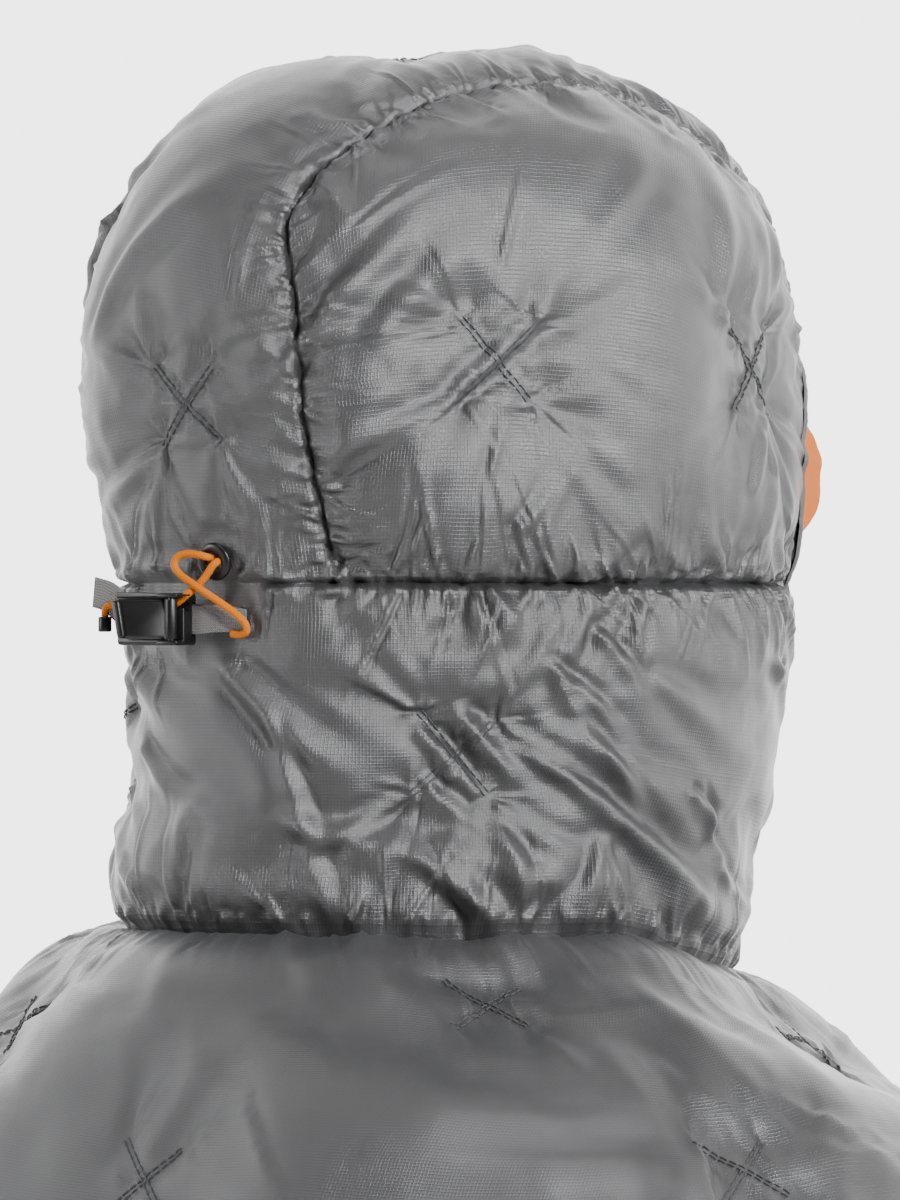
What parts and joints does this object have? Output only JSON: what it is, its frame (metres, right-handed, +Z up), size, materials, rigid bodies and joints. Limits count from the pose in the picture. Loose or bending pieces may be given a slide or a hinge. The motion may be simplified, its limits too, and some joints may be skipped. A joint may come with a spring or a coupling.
{
  "type": "hooded camp quilt",
  "caption": "Insulated hooded camp quilt worn as a cloak, with a three-panel hood, gathered nape, two-way front zip and a cord-lock adjuster behind the head.",
  "frame": {"origin": "centre of the neck opening, level with the back of the neck seam, where the wearer's neck carries the quilt", "axes": "+Z up the wearer's spine, the wearer faces -Y, the wearer's left is +X"},
  "size_m": [0.552, 0.4236, 1.6404],
  "materials": {
    "shell_cloth": "calendered grey ripstop, slightly shiny",
    "lining_cloth": "orange taffeta",
    "batting": "white lofted fibre, hidden between shell and lining",
    "webbing": "grey ribbed webbing",
    "orange_cord": "braided elastic cord",
    "black_plastic": "satin moulded",
    "steel": "dark plated"
  },
  "bodies": {
    "quilt": {"adjuster_cord_lower": "orange_cord", "adjuster_cord_upper": "orange_cord", "adjuster_webbing": "webbing", "body_batting": "batting", "body_lining": "lining_cloth", "body_shell": "shell_cloth", "cord_end_stopper": "black_plastic", "cord_lock_body": "black_plastic", "cord_lock_pin": "steel", "eyelet": "black_plastic", "face_opening_binding": "shell_cloth", "hem_binding": "shell_cloth", "hood_centre_batting": "batting", "hood_centre_lining": "lining_cloth", "hood_centre_shell": "shell_cloth", "hood_left_batting": "batting", "hood_left_lining": "lining_cloth", "hood_left_shell": "shell_cloth", "hood_right_batting": "batting", "hood_right_lining": "lining_cloth", "hood_right_shell": "shell_cloth", "nape_drawcord": "orange_cord", "neck_batting": "batting", "neck_lining": "lining_cloth", "neck_shell": "shell_cloth", "zip_coil_left": "black_plastic", "zip_coil_right": "black_plastic", "zip_foot_stop_left": "steel", "zip_foot_stop_right": "steel", "zip_tape_left": "shell_cloth", "zip_tape_right": "shell_cloth", "zip_top_stop_left": "steel", "zip_top_stop_right": "steel"},
    "top_slider": {"zip_top_slider": "steel"},
    "top_pull": {"zip_top_slider_pull": "steel"},
    "bottom_slider": {"zip_bottom_slider": "steel"},
    "bottom_pull": {"zip_bottom_slider_pull": "steel"},
    "lock_lever": {"cord_lock_lever": "black_plastic"}
  },
  "joints": [
    {"name": "top_slider_run", "type": "slide", "parent": "quilt", "child": "top_slider", "axis": [0, 0.2204, -0.9754], "range_m": [0, 0.04]},
    {"name": "top_pull_swing", "type": "hinge", "parent": "top_slider", "child": "top_pull", "pos_m": [0, -0.11762, 0.0477], "axis": [-1, 0, 0], "range_deg": [-5, 90]},
    {"name": "bottom_slider_run", "type": "slide", "parent": "quilt", "child": "bottom_slider", "axis": [0, 0.0186, 0.9998], "range_m": [0, 0.9]},
    {"name": "bottom_pull_swing", "type": "hinge", "parent": "bottom_slider", "child": "bottom_pull", "pos_m": [0, -0.20695, -1.32339], "axis": [-1, 0, 0], "range_deg": [0, 90]},
    {"name": "lock_lever_hinge", "type": "hinge", "parent": "quilt", "child": "lock_lever", "pos_m": [-0.0149, 0.12738, 0.0995], "axis": [0, 0, 1], "range_deg": [0, 40]}
  ]
}
